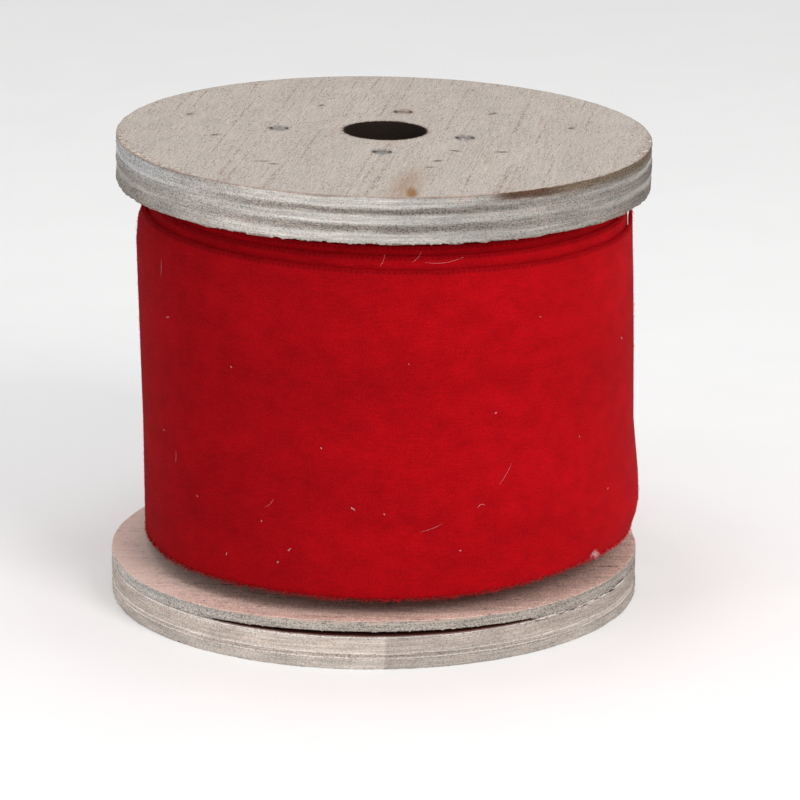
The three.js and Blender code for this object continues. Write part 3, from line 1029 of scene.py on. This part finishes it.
class Winding:
    """Where the ribbon lies: a spiral from the tube outwards, its last turns slipped down."""

    def __init__(self, ribbon):
        self.width = ribbon.width
        self.length = ribbon.length
        inner = tube_radius + 0.55 * MM
        rough_pitch = (roll_radius**2 - inner**2) * math.pi / ribbon.length
        self.start = inner + rough_pitch / 2
        self.end = roll_radius - rough_pitch / 2
        self.pitch = (self.end**2 - self.start**2) * math.pi / ribbon.length
        self.thickness = self.pitch * PILE_GAP
        self.turns = (self.end - self.start) / self.pitch
        self.foot = roll_low.z
        self.slip = roll_high.z - roll_low.z - self.width

    def turn_at(self, share):
        """Turns wound from the tube, for a share of the length."""
        radius = math.sqrt(self.start**2 + share * (self.end**2 - self.start**2))
        return (radius - self.start) / self.pitch

    def angle_at(self, turn):
        return LOOSE_END + 2 * math.pi * (turn - self.turns)

    def lift(self, turns_left):
        """How much higher a turn lies than the last one."""
        second = ease(turns_left, 0.60, 0.93) * 0.50
        third = ease(turns_left, 1.58, 1.92) * 0.42
        deeper = 0.035 * math.sin(5.1 * turns_left) * ease(turns_left, 2.0, 3.0)
        return self.slip * (second + third + deeper)

    def edge_rise(self, angle, turns_left):
        """The last turns follow the lean of the upper flange: higher on the left, lower on the right."""
        tilt = (2.4 - 0.9 * ease(turns_left, 0.9, 2.0)) * math.cos(angle)
        return LAST_RISE * (1 - ease(turns_left, 1.0, 2.0)) - tilt * MM

    def foot_rise(self, angle, turns_left):
        """The foot of the last turn rides up towards the right."""
        bulge = 2.9 * bump(angle, -33, 32) + 0.5 * bump(angle, -118, 20)
        return (0.1 + bulge) * MM * (1 - ease(turns_left, 1.0, 2.0))

    def tuck(self, angle, height):
        """How far the roll is drawn in near its edges."""
        above_foot = (height - self.foot) / MM
        below_top = (self.foot + self.width + 3.0 * MM - height) / MM
        right_foot = 3.0 * bump(angle, -6, 34) * max(0.0, 1 - above_foot / 12) ** 2
        left_top = 2.3 * bump(angle, -176, 34) * max(0.0, 1 - below_top / 9) ** 2
        all_round = 0.35 * max(0.0, 1 - above_foot / 4) ** 2 + 0.25 * max(0.0, 1 - below_top / 5) ** 2
        return (right_foot + left_top + all_round) * MM

    def bulge(self, angle, height):
        """Slow unevenness of the roll."""
        spot = Vector((math.cos(angle) * 2.2, math.sin(angle) * 2.2, height / (34 * MM)))
        crease = Vector((math.cos(angle) * 9, math.sin(angle) * 9, height / (9 * MM)))
        right = 1.2 + 1.5 * math.exp(-(((height - self.foot) / MM - 11) / 13) ** 2)
        left = -0.45 * math.exp(-(((height - self.foot) / MM - 55) / 25) ** 2)
        pushed = right * bump(angle, 2, 48) + left * bump(angle, 180, 45)
        return (noise.noise(spot) * 0.42 + noise.noise(crease) * 0.10 + pushed) * MM

    def point(self, turn, row, side):
        """A point of the ribbon's surface. row runs up the width, side is -1 inside and 1 outside."""
        angle = self.angle_at(turn)
        turns_left = self.turns - turn
        fade = max(0.0, 1 - turns_left / SETTLING_TURNS)
        low = self.foot + self.lift(turns_left) + self.foot_rise(angle, turns_left)
        high = self.foot + self.width + self.lift(turns_left) + self.edge_rise(angle, turns_left)
        height = low + (high - low) * row
        loose = 0.9 * MM * max(0.0, 1 - turns_left * 2 * math.pi * self.end / (9 * MM)) ** 2
        half = self.thickness / 2
        radius = self.start + turn * self.pitch + side * half + loose
        radius += (self.bulge(angle, height) - self.tuck(angle, height)) * fade
        sheer = 0.9 * MM * (1 - 2 * (height - self.foot) / self.width) * fade
        return Vector((
            roll_middle.x + radius * math.cos(angle) + sheer,
            roll_middle.y + radius * math.sin(angle),
            height,
        ))


def ease(value, low, high):
    share = min(1.0, max(0.0, (value - low) / (high - low)))
    return share * share * (3 - 2 * share)


def bump(angle, middle_degrees, half_width):
    """1 at an angle round the roll, falling away over a number of degrees."""
    away = math.degrees(angle) - middle_degrees
    away = (away + 180) % 360 - 180
    return math.exp(-((away / half_width) ** 2))


def ribbon_section():
    """Rows up the outside and down the inside, with one rounded point on each cut edge."""
    outside = [(row, 1.0) for row in ROWS[1:-1]]
    inside = [(row, -1.0) for row in reversed(ROWS[1:-1])]
    top = [(0.998, 0.6), (1.0, 0.0), (0.998, -0.6)]
    foot = [(0.002, -0.6), (0.0, 0.0), (0.002, 0.6)]
    return outside + top + inside + foot


def wind_ribbon(winding):
    """The whole length of ribbon as one closed strip, with its own map along and across it."""
    section = ribbon_section()
    count = len(section)
    steps = round(winding.length / STEP)
    vertices = []
    for step in range(steps + 1):
        turn = winding.turn_at(step / steps)
        vertices.extend(winding.point(turn, row, side) for row, side in section)
    faces = []
    for step in range(steps):
        first = step * count
        for index in range(count):
            following = (index + 1) % count
            near, far = first + index, first + following
            faces.append((near, near + count, far + count, far))
    last = steps * count
    faces.append(tuple(range(count)))
    faces.append(tuple(last + index for index in reversed(range(count))))
    ribbon = piece_from("velvet_ribbon_roll", vertices, faces)
    strip = ribbon.data.uv_layers.new(name="strip")
    for loop in ribbon.data.loops:
        step, index = divmod(loop.vertex_index, count)
        strip.data[loop.index].uv = (step * STEP, section[index][0] * winding.width)
    return ribbon


def add_fibre(vertices, faces, root, direction, length, thickness):
    """A hair with three sides that tapers to a point."""
    across = direction.orthogonal().normalized() * thickness
    beside = direction.cross(across).normalized() * thickness
    first = len(vertices)
    back = root - across * 0.5
    vertices.extend((root + across, back + beside * 0.87, back - beside * 0.87, root + direction * length))
    faces.extend((
        (first, first + 1, first + 3), (first + 1, first + 2, first + 3),
        (first + 2, first, first + 3), (first + 2, first + 1, first),
    ))


def edge_pile(name, winding, fibres, turns, row, lean_down, longest, seed):
    """Pile that stands out along one cut edge of the ribbon, in clumps."""
    chance = random.Random(seed)
    vertices = []
    faces = []
    for _ in range(fibres):
        turn = winding.turns - chance.uniform(*turns)
        near_row = row + chance.uniform(-0.012, 0.004) * lean_down
        root = winding.point(turn, near_row, chance.uniform(0.1, 1.0))
        angle = winding.angle_at(turn)
        outward = Vector((math.cos(angle), math.sin(angle), 0))
        along = Vector((-math.sin(angle), math.cos(angle), 0))
        direction = outward * chance.uniform(0.1, 1.0) + along * chance.gauss(0, 0.45)
        direction.z = lean_down * chance.uniform(0.4, 1.4)
        clump = 0.5 + 0.5 * noise.noise(Vector((math.cos(angle) * 45, math.sin(angle) * 45, turn)))
        length = longest * chance.uniform(0.3, 0.6 + 0.8 * clump)
        add_fibre(vertices, faces, root, direction.normalized(), length, chance.uniform(0.06, 0.11) * MM)
    return piece_from(name, vertices, faces)


def face_pile(name, winding, fibres, seed):
    """Stray hairs of pile over the outside of the last turn, which soften its outline."""
    chance = random.Random(seed)
    vertices = []
    faces = []
    for _ in range(fibres):
        turn = winding.turns - chance.uniform(0.0, 1.0)
        root = winding.point(turn, chance.uniform(0.0, 1.0), 1.0)
        angle = winding.angle_at(turn)
        outward = Vector((math.cos(angle), math.sin(angle), 0))
        along = Vector((-math.sin(angle), math.cos(angle), 0))
        direction = outward + along * chance.gauss(-0.3, 0.6) + Vector((0, 0, chance.gauss(-0.2, 0.6)))
        length = chance.uniform(0.2, 0.5) * MM
        add_fibre(vertices, faces, root, direction.normalized(), length, chance.uniform(0.04, 0.07) * MM)
    return piece_from(name, vertices, faces)


# Lint

# Specks: degrees round the roll, height above the table in millimetres, length in millimetres
SPECKS = (
    (-97, 48, 1.4), (-90, 46.6, 0.9), (-112, 33.5, 1.6), (-119, 41, 1.1), (-115, 29, 0.9),
    (-129, 28.5, 0.9), (-29, 41, 0.8), (-126, 87, 0.8), (-64, 76, 0.7), (-52, 104, 0.8),
    (-84, 93, 0.6), (-104, 66, 0.7), (-148, 96, 0.8), (-152, 60, 0.9), (-40, 62, 0.7),
    (-73, 34, 0.7), (-138, 44, 0.8), (-20, 88, 0.8),
)
# Curled hairs: degrees, height, length in millimetres, turn in degrees, curl in turns
HAIRS = (
    (-118, 45.5, 4.5, 28, 0.10), (-67, 47.5, 3.0, 150, 0.30), (-63.5, 53, 7.5, 48, 0.05),
    (-82, 41, 7.0, 12, 0.05), (-90, 122.6, 4.0, 50, 0.12), (-80, 124.0, 12.0, -10, 0.10),
    (-83, 124.0, 4.5, 25, 0.15), (-150, 108, 5.5, 80, 0.05), (-146, 52, 4.0, 70, 0.10),
)


def on_roll(winding, degrees, height, out):
    """A point just outside the last turn."""
    turn = winding.turns - ((LOOSE_END_DEGREES - degrees) % 360) / 360
    row = (height * MM - winding.foot) / winding.width
    point = winding.point(turn, row, 1.0)
    angle = math.radians(degrees)
    return point + Vector((math.cos(angle), math.sin(angle), 0)) * out


def add_strand(vertices, faces, points, thickness):
    """A closed three-sided strand through points, thinner towards its ends."""
    first = len(vertices)
    for index, point in enumerate(points):
        following = points[min(index + 1, len(points) - 1)]
        previous = points[max(index - 1, 0)]
        direction = (following - previous).normalized()
        across = direction.orthogonal().normalized()
        beside = direction.cross(across)
        share = index / (len(points) - 1)
        size = thickness * (0.35 + 0.65 * math.sin(math.pi * share))
        for corner in range(3):
            turn = 2 * math.pi * corner / 3
            vertices.append(point + (across * math.cos(turn) + beside * math.sin(turn)) * size)
    for index in range(len(points) - 1):
        for corner in range(3):
            here = first + index * 3 + corner
            beside_here = first + index * 3 + (corner + 1) % 3
            faces.append((here, beside_here, beside_here + 3, here + 3))
    last = first + (len(points) - 1) * 3
    faces.append((first + 2, first + 1, first))
    faces.append((last, last + 1, last + 2))


def curled_points(start, along, up, length, turn_degrees, curl):
    """Points of a hair that starts straight and curls round as it goes."""
    points = []
    count = 9
    heading = math.radians(turn_degrees)
    place = start.copy()
    for _ in range(count):
        points.append(place.copy())
        place = place + (along * math.cos(heading) + up * math.sin(heading)) * (length / (count - 1))
        heading += 2 * math.pi * curl / (count - 1)
    return points


def lint_hairs(winding):
    vertices = []
    faces = []
    up = Vector((0, 0, 1))
    for degrees, height, length, turn, curl in HAIRS:
        angle = math.radians(degrees)
        along = Vector((-math.sin(angle), math.cos(angle), 0))
        start = on_roll(winding, degrees, height, 0.72 * MM)
        points = curled_points(start, along, up, length * MM, turn, curl)
        add_strand(vertices, faces, points, 0.032 * MM)
    return piece_from("lint_hairs", vertices, faces)


def lint_specks(winding):
    """Small tangles of white fluff, each a few short hairs crossing at one point."""
    chance = random.Random(11)
    vertices = []
    faces = []
    for degrees, height, size in SPECKS:
        centre = on_roll(winding, degrees, height, 0.35 * MM)
        heading = Vector((chance.gauss(0, 1), chance.gauss(0, 1), chance.gauss(0, 1))).normalized()
        for _ in range(7):
            spread = Vector((chance.gauss(0, 0.35), chance.gauss(0, 0.35), chance.gauss(0, 0.35)))
            direction = (heading + spread).normalized()
            start = centre - direction * size * MM * chance.uniform(0.3, 0.55)
            end = centre + direction * size * MM * chance.uniform(0.3, 0.55)
            add_strand(vertices, faces, [start, centre, end], 0.055 * MM)
    return piece_from("lint_specks", vertices, faces)


def lint_tuft(winding):
    """One loose tuft of white fluff caught on the foot of the roll."""
    chance = random.Random(23)
    vertices = []
    faces = []
    centre = on_roll(winding, -35, 21.4, 0.9 * MM)
    for _ in range(70):
        direction = Vector((chance.gauss(0.3, 1), chance.gauss(0, 0.8), chance.gauss(0, 1))).normalized()
        bend = Vector((chance.gauss(0, 1), chance.gauss(0, 1), chance.gauss(0, 1))) * 0.35 * MM
        length = chance.uniform(0.6, 2.2) * MM
        points = [centre, centre + direction * length * 0.5 + bend, centre + direction * length]
        add_strand(vertices, faces, points, 0.030 * MM)
    return piece_from("lint_tuft", vertices, faces)


def end_threads(winding):
    """Frayed threads at the loose end of the ribbon, longest at its upper corner."""
    chance = random.Random(31)
    vertices = []
    faces = []
    for _ in range(150):
        row = chance.uniform(0.0, 1.0)
        corner = max(0.0, (row - 0.93) / 0.07)
        root = winding.point(winding.turns, row, chance.uniform(-0.8, 0.8))
        angle = winding.angle_at(winding.turns)
        outward = Vector((math.cos(angle), math.sin(angle), 0))
        along = Vector((-math.sin(angle), math.cos(angle), 0))
        direction = along + outward * chance.uniform(-0.1, 0.8) + Vector((0, 0, chance.gauss(0, 0.3)))
        reach = direction.normalized() * (chance.uniform(0.5, 1.5) + 1.6 * corner) * MM
        bend = Vector((0, 0, chance.gauss(0, 0.25))) * MM
        add_strand(vertices, faces, [root, root + reach * 0.5 + bend, root + reach], 0.07 * MM)
    return piece_from("ribbon_end_threads", vertices, faces)


# Operators


class SPOOL_OT_upper_flange(bpy.types.Operator):
    """Saw the seven plies of the upper flange"""

    bl_idname = "spool.upper_flange"
    bl_label = "Upper Flange"

    def execute(self, context):
        wood = context.scene.spool_wood
        cutter = cutter_for("upper", upper_bore, context.scene.spool_staples)
        material = weathered_plywood(wood)
        for name in UPPER_PLIES:
            ply, node, low, _ = saw_ply("upper", name, upper_middle, upper_axis, cutter, wood)
            if name == "inner_veneer":

                def underside(co):
                    foot = upper_middle + upper_axis * (low - upper_middle.dot(upper_axis))
                    return foot.z - (co.x - foot.x) * upper_axis.x / upper_axis.z

                tear_edge(ply, upper_middle, underside, wood, lambda co: 1.0)
            smooth_by_angle(ply, 32)
            slot = "weathered_face" if name == "face_veneer" else "pale_ply"
            finish_piece(ply, material, "grey_ply" if "crossband" in name else slot, node)
        bpy.data.objects.remove(cutter)
        return {"FINISHED"}


class SPOOL_OT_lower_flange(bpy.types.Operator):
    """Saw the five plies of the lower flange"""

    bl_idname = "spool.lower_flange"
    bl_label = "Lower Flange"

    def execute(self, context):
        wood = context.scene.spool_wood
        cutter = cutter_for("lower", lower_bore, context.scene.spool_staples)
        base = base_plywood()
        sprung = sprung_ply_wood(wood)
        for name in LOWER_PLIES:
            ply, node, low, high = saw_ply("lower", name, lower_middle, lower_axis, cutter, wood)
            if name == "sprung_ply":
                chord = flange_radius * math.cos(math.radians(SPRUNG_HALF_ANGLE))
                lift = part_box(node)[1].z - high

                def crack_lip(co):
                    return low + lift * max(0.0, (-co.y - chord) / (flange_radius - chord))

                def at_crack(co):
                    return 0.6 if co.y < -chord else 0.0

                tear_edge(ply, lower_middle, crack_lip, wood, at_crack, 0.2)
            if name == "base_ply":
                tear_edge(ply, lower_middle, lambda co: low + RIM_BEVEL, wood, lambda co: 0.6)
            smooth_by_angle(ply, 32)
            slot = {"sprung_ply": "pink_ply", "base_ply": "grey_ply"}.get(name, "pale_ply")
            finish_piece(ply, sprung if name == "sprung_ply" else base, slot, node)
        bpy.data.objects.remove(cutter)
        return {"FINISHED"}


class SPOOL_OT_staples(bpy.types.Operator):
    """Bend the eight staples"""

    bl_idname = "spool.staples"
    bl_label = "Staples"

    def execute(self, context):
        clean = dull_zinc("dull_zinc", 0.0)
        rusty = dull_zinc("rusty_zinc", 0.12)
        for prefix in ("upper", "lower"):
            for side in STAPLE_SIDES:
                staple = staple_shape(f"{prefix}_{side}", context.scene.spool_staples)
                apply_modifier(staple, "BEVEL", width=0.16 * MM, segments=2, limit_method="ANGLE")
                smooth_by_angle(staple, 40)
                material = rusty if side == "rear" else clean
                finish_piece(staple, material, "staple_steel", f"{prefix}_{side}_staple")
        return {"FINISHED"}


class SPOOL_OT_core(bpy.types.Operator):
    """Give the tube, its tape and the two hub discs their finishes"""

    bl_idname = "spool.core"
    bl_label = "Core and Hubs"

    def execute(self, context):
        finishes = {
            "upper_hub_disc": hub_wood(upper_bore, lean, "upper_hub_wood"),
            "lower_hub_disc": hub_wood(lower_bore, 0.0, "lower_hub_wood"),
            "core_tube": tube_cardboard(),
            "ribbon_start_tape": crepe_tape(),
        }
        for node, material in finishes.items():
            piece = frame["nodes"][node]
            piece.data.materials.clear()
            piece.data.materials.append(material)
        return {"FINISHED"}


class SPOOL_OT_ribbon(bpy.types.Operator):
    """Wind the velvet ribbon on the tube, with its pile, its frayed end and the lint on it"""

    bl_idname = "spool.ribbon"
    bl_label = "Velvet Ribbon"

    def execute(self, context):
        settings = context.scene.spool_ribbon
        winding = Winding(settings)
        ribbon = wind_ribbon(winding)
        smooth_by_angle(ribbon, 60)
        finish_piece(ribbon, velvet_pile(settings), "red_velvet", "velvet_ribbon")
        lighter = tuple(channel * 1.15 for channel in settings.velvet)
        red = plain_fibre("red_pile", lighter, 0.03, (1.0, 0.45, 0.5))
        white = plain_fibre("white_fluff", (0.62, 0.44, 0.45), 0.1, (1.0, 1.0, 1.0))
        red_pieces = [
            edge_pile("foot_edge_pile", winding, settings.fibres, (0.0, 1.0), 0.0, -1, 1.5 * MM, 3),
            edge_pile("top_edge_pile", winding, settings.fibres, (0.0, 1.0), 1.0, 1, 0.8 * MM, 4),
            edge_pile("second_edge_pile", winding, settings.fibres, (1.0, 2.0), 1.0, 1, 0.7 * MM, 5),
            face_pile("stray_pile", winding, settings.fibres * 3, 6),
            end_threads(winding),
        ]
        for piece in red_pieces:
            finish_piece(piece, red, "red_velvet")
        white_pieces = [lint_hairs(winding), lint_specks(winding), lint_tuft(winding)]
        for piece in white_pieces:
            finish_piece(piece, white, "red_velvet")
        return {"FINISHED"}


AIR_LIGHT = 0.64
# Soft lights: name, place, size, power and colour
LIGHTS = (
    ("key", (0.75, -1.1, 0.95), 0.7, 11, (1.0, 0.985, 0.96)),
    ("fill", (-1.1, -0.9, 0.5), 0.9, 3.6, (0.95, 0.975, 1.0)),
    ("top", (0.0, -0.1, 1.5), 1.0, 4.6, (1.0, 1.0, 1.0)),
    ("front", (0.1, -1.9, 0.42), 0.6, 2.4, (1.0, 0.99, 0.98)),
)
LIGHTS_AIM_AT = Vector((0, 0, 0.07))
LENS = 215.57
CAMERA_PLACE = (0.00653, -1.44197, 0.47785)
CAMERA_LOOKS_DOWN = math.radians(16.146)


def add_area_light(name, place, size, power, colour):
    light = bpy.data.lights.new(name, "AREA")
    light.shape = "DISK"
    light.size = size
    light.energy = power
    light.color = colour
    lamp = bpy.data.objects.new(name, light)
    lamp.location = place
    lamp.rotation_euler = (LIGHTS_AIM_AT - Vector(place)).to_track_quat("-Z", "Y").to_euler()
    bpy.context.scene.collection.objects.link(lamp)


def add_floor():
    deselect_all()
    bpy.ops.mesh.primitive_circle_add(vertices=96, radius=6.0, fill_type="NGON", location=(0, 0, 0))
    floor = bpy.context.object
    floor.name = "studio_floor"
    paper = Finish("pale_paper", Roughness=0.9, Specular_IOR_Level=0.1)
    grain = paper.noise(paper.millimetres(), (40.0, 40.0, 40.0), detail=2)
    paper.colour(paper.scale((0.93, 0.93, 0.93), paper.swing(grain, 0.01)))
    floor.data.materials.append(paper.material)


def add_air():
    world = bpy.data.worlds.new("studio_air")
    world.use_nodes = True
    background = world.node_tree.nodes["Background"]
    background.inputs["Color"].default_value = (1.0, 1.0, 1.0, 1.0)
    background.inputs["Strength"].default_value = AIR_LIGHT
    bpy.context.scene.world = world


def add_camera():
    camera_data = bpy.data.cameras.new("studio_camera")
    camera_data.lens = LENS
    camera_data.sensor_width = 36.0
    camera_data.clip_end = 20.0
    camera = bpy.data.objects.new("studio_camera", camera_data)
    camera.location = CAMERA_PLACE
    camera.rotation_euler = (math.pi / 2 - CAMERA_LOOKS_DOWN, 0, 0)
    bpy.context.scene.collection.objects.link(camera)
    bpy.context.scene.camera = camera


class SPOOL_OT_stage(bpy.types.Operator):
    """Set the pale floor, the soft lights and the camera"""

    bl_idname = "spool.stage"
    bl_label = "Stage"

    def execute(self, context):
        add_floor()
        add_air()
        for name, place, size, power, colour in LIGHTS:
            add_area_light(name, place, size, power, colour)
        add_camera()
        context.scene.view_settings.view_transform = "Standard"
        return {"FINISHED"}


class SPOOL_PT_pieces(bpy.types.Panel):
    """Buttons for the pieces of the spool, and the sizes and colours that can be changed"""

    bl_idname = "SPOOL_PT_pieces"
    bl_label = "Ribbon Spool"
    bl_space_type = "VIEW_3D"
    bl_region_type = "UI"
    bl_category = "Spool"

    def draw(self, context):
        column = self.layout.column(align=True)
        for operator in OPERATORS:
            column.operator(operator.bl_idname)
        for group in GROUPS:
            settings = getattr(context.scene, group)
            for name in settings.bl_rna.properties.keys():
                if name not in {"rna_type", "name"}:
                    self.layout.prop(settings, name)


GROUPS = {"spool_wood": WoodSettings, "spool_ribbon": RibbonSettings, "spool_staples": StapleSettings}
OPERATORS = (
    SPOOL_OT_stage,
    SPOOL_OT_upper_flange,
    SPOOL_OT_lower_flange,
    SPOOL_OT_staples,
    SPOOL_OT_core,
    SPOOL_OT_ribbon,
)


def register():
    for group in GROUPS.values():
        bpy.utils.register_class(group)
    for name, group in GROUPS.items():
        setattr(bpy.types.Scene, name, bpy.props.PointerProperty(type=group))
    for operator in OPERATORS:
        bpy.utils.register_class(operator)
    bpy.utils.register_class(SPOOL_PT_pieces)


def unregister():
    bpy.utils.unregister_class(SPOOL_PT_pieces)
    for operator in reversed(OPERATORS):
        bpy.utils.unregister_class(operator)
    for name, group in GROUPS.items():
        delattr(bpy.types.Scene, name)
        bpy.utils.unregister_class(group)


def main():
    register()
    bpy.ops.spool.stage()
    bpy.ops.spool.upper_flange()
    bpy.ops.spool.lower_flange()
    bpy.ops.spool.staples()
    bpy.ops.spool.core()
    bpy.ops.spool.ribbon()


if __name__ == "__main__":
    main()
